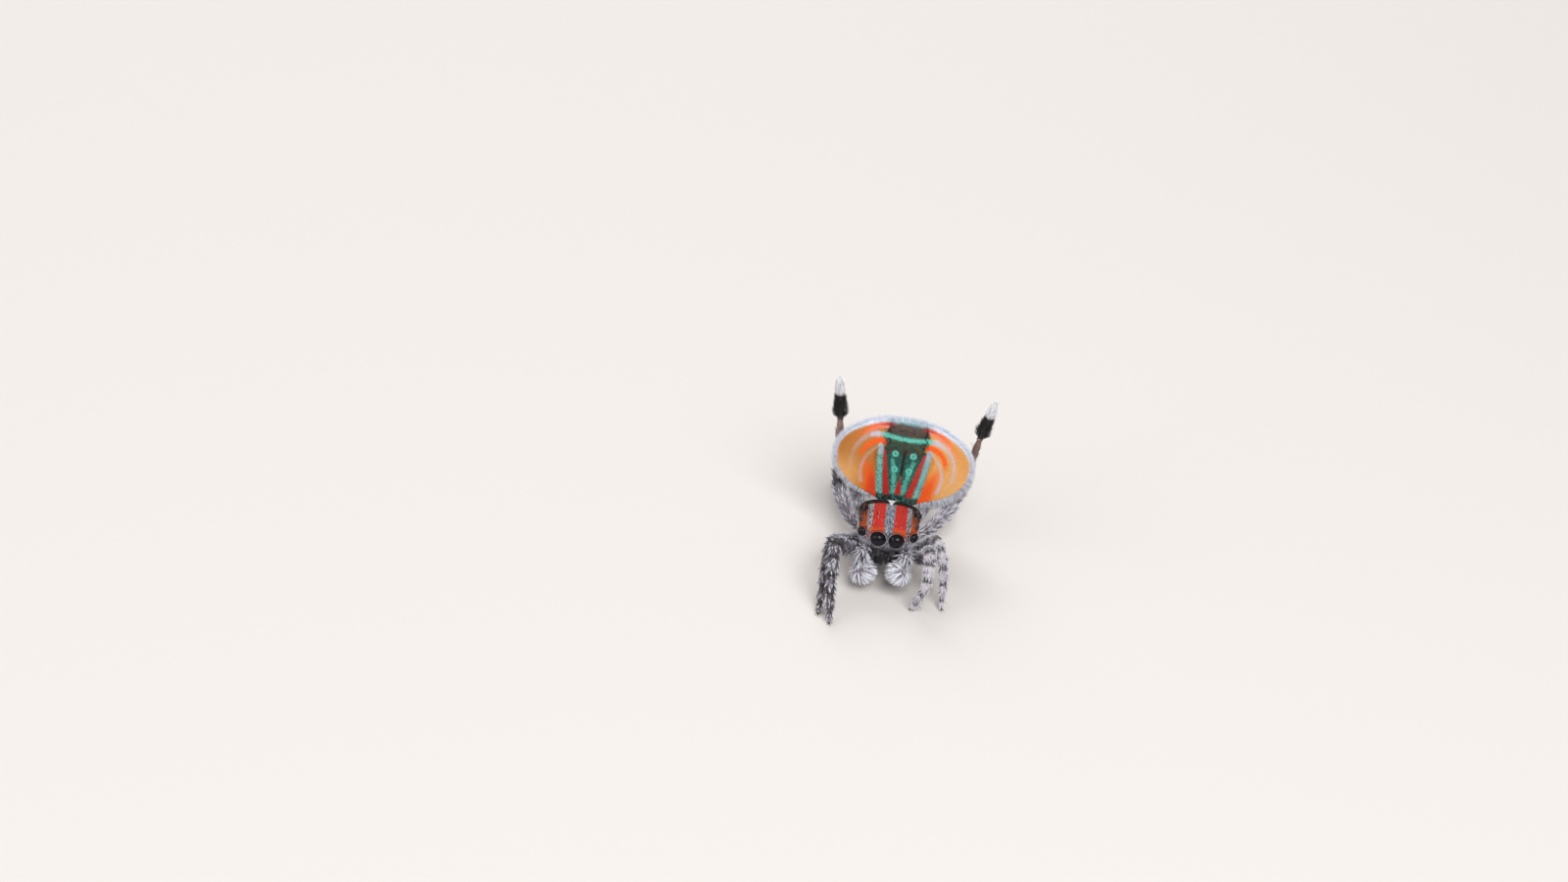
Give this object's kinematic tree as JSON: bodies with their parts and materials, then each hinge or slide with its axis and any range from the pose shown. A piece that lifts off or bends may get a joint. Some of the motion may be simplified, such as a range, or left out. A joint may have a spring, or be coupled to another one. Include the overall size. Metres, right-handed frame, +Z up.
{
  "type": "peacock spider",
  "caption": "Life-size model of a male peacock spider in courtship display: the patterned fan of its abdomen raised and spread, its third legs held up.",
  "frame": {"origin": "Middle of the footprint of the whole spider, on the floor it stands on.", "axes": "+Z up. The spider faces -Y, so its left side is at +X, and the raised fan of its abdomen looks towards -Y."},
  "size_m": [0.0044, 0.006, 0.0043],
  "materials": {
    "abdomen": "soft skin under grey and white hair",
    "carapace": "hard shell under short red, grey-blue and white scales",
    "chelicera": "glossy dark brown",
    "eye": "glossy black lens",
    "fan_flap": "orange and red scales with a white hair fringe",
    "fan_scute": "metallic green and turquoise scales with red stripes",
    "leg_femur": "shell under grey and white hair",
    "leg_foot": "shell under grey, white and dark hair in bands",
    "leg_metatarsus": "black hair brush",
    "leg_shin": "shell under grey, white and dark hair in bands",
    "leg_tarsus": "white hair brush",
    "mouthparts": "dark brown shell",
    "palp_arm": "shell under white and grey hair",
    "palp_brush": "long white hair",
    "pedicel": "dark thin shell",
    "spinnerets": "grey-brown skin with short hair",
    "sternum": "dark shell with short hair"
  },
  "bodies": {
    "root": {"abdomen": "abdomen", "carapace": "carapace", "chelicera_left": "chelicera", "chelicera_right": "chelicera", "eye_front_middle_left": "eye", "eye_front_middle_right": "eye", "eye_front_side_left": "eye", "eye_front_side_right": "eye", "eye_rear_left": "eye", "eye_rear_right": "eye", "eye_small_left": "eye", "eye_small_right": "eye", "fan_flap_left": "fan_flap", "fan_flap_right": "fan_flap", "fan_scute": "fan_scute", "leg1_left_femur": "leg_femur", "leg1_left_foot": "leg_foot", "leg1_left_shin": "leg_shin", "leg1_right_femur": "leg_femur", "leg1_right_foot": "leg_foot", "leg1_right_shin": "leg_shin", "leg2_left_femur": "leg_femur", "leg2_left_foot": "leg_foot", "leg2_left_shin": "leg_shin", "leg2_right_femur": "leg_femur", "leg2_right_foot": "leg_foot", "leg2_right_shin": "leg_shin", "leg3_left_femur": "leg_femur", "leg3_left_metatarsus": "leg_metatarsus", "leg3_left_shin": "leg_shin", "leg3_left_tarsus": "leg_tarsus", "leg3_right_femur": "leg_femur", "leg3_right_metatarsus": "leg_metatarsus", "leg3_right_shin": "leg_shin", "leg3_right_tarsus": "leg_tarsus", "leg4_left_femur": "leg_femur", "leg4_left_foot": "leg_foot", "leg4_left_shin": "leg_shin", "leg4_right_femur": "leg_femur", "leg4_right_foot": "leg_foot", "leg4_right_shin": "leg_shin", "mouthparts": "mouthparts", "palp_arm_left": "palp_arm", "palp_arm_right": "palp_arm", "palp_brush_left": "palp_brush", "palp_brush_right": "palp_brush", "pedicel": "pedicel", "spinnerets": "spinnerets", "sternum": "sternum"}
  },
  "joints": []
}
